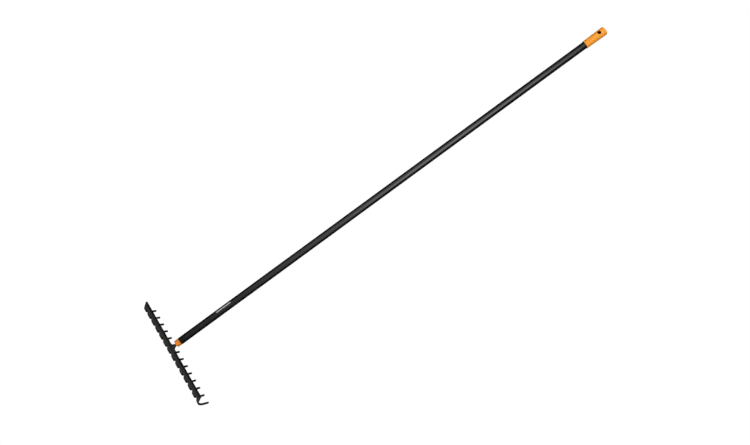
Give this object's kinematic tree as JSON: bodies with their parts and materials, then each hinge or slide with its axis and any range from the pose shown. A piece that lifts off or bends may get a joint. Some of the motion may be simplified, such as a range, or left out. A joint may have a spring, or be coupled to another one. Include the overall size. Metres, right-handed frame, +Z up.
{
  "type": "garden rake",
  "caption": "Level-head garden rake: a toothed steel bar with curved tines, a short neck in an orange ferrule, a black round tube shaft and an orange end cap with a hanging hole.",
  "frame": {"origin": "centre of the bounding box in X and Y, at the floor that the rake lies on (Z = 0 at the tine tips and the cap's lowest rim)", "axes": "+X along the toothed bar, to the right for a user behind the cap; +Y from the head towards the cap, along the floor; +Z up. The shaft dips 2.68 degrees towards the cap, as the rake lies"},
  "size_m": [0.3588, 1.659, 0.0995],
  "materials": {
    "head_coating": "black powder coat on stamped steel, satin, worn at the tine tips",
    "neck_coating": "black powder coat on forged steel, satin",
    "weld_coating": "black powder coat over a weld bead",
    "orange_plastic": "moulded orange polypropylene, satin with a fine grain",
    "pin_steel": "bare steel pin",
    "shaft_coating": "black powder coat on thin-walled tube, satin"
  },
  "bodies": {
    "root": {"rake_head": "head_coating", "neck_tang": "neck_coating", "weld_bead_front": "weld_coating", "weld_bead_rear": "weld_coating", "ferrule_plug": "orange_plastic", "tang_pin": "pin_steel", "shaft_tube": "shaft_coating", "end_cap": "orange_plastic"}
  },
  "joints": []
}
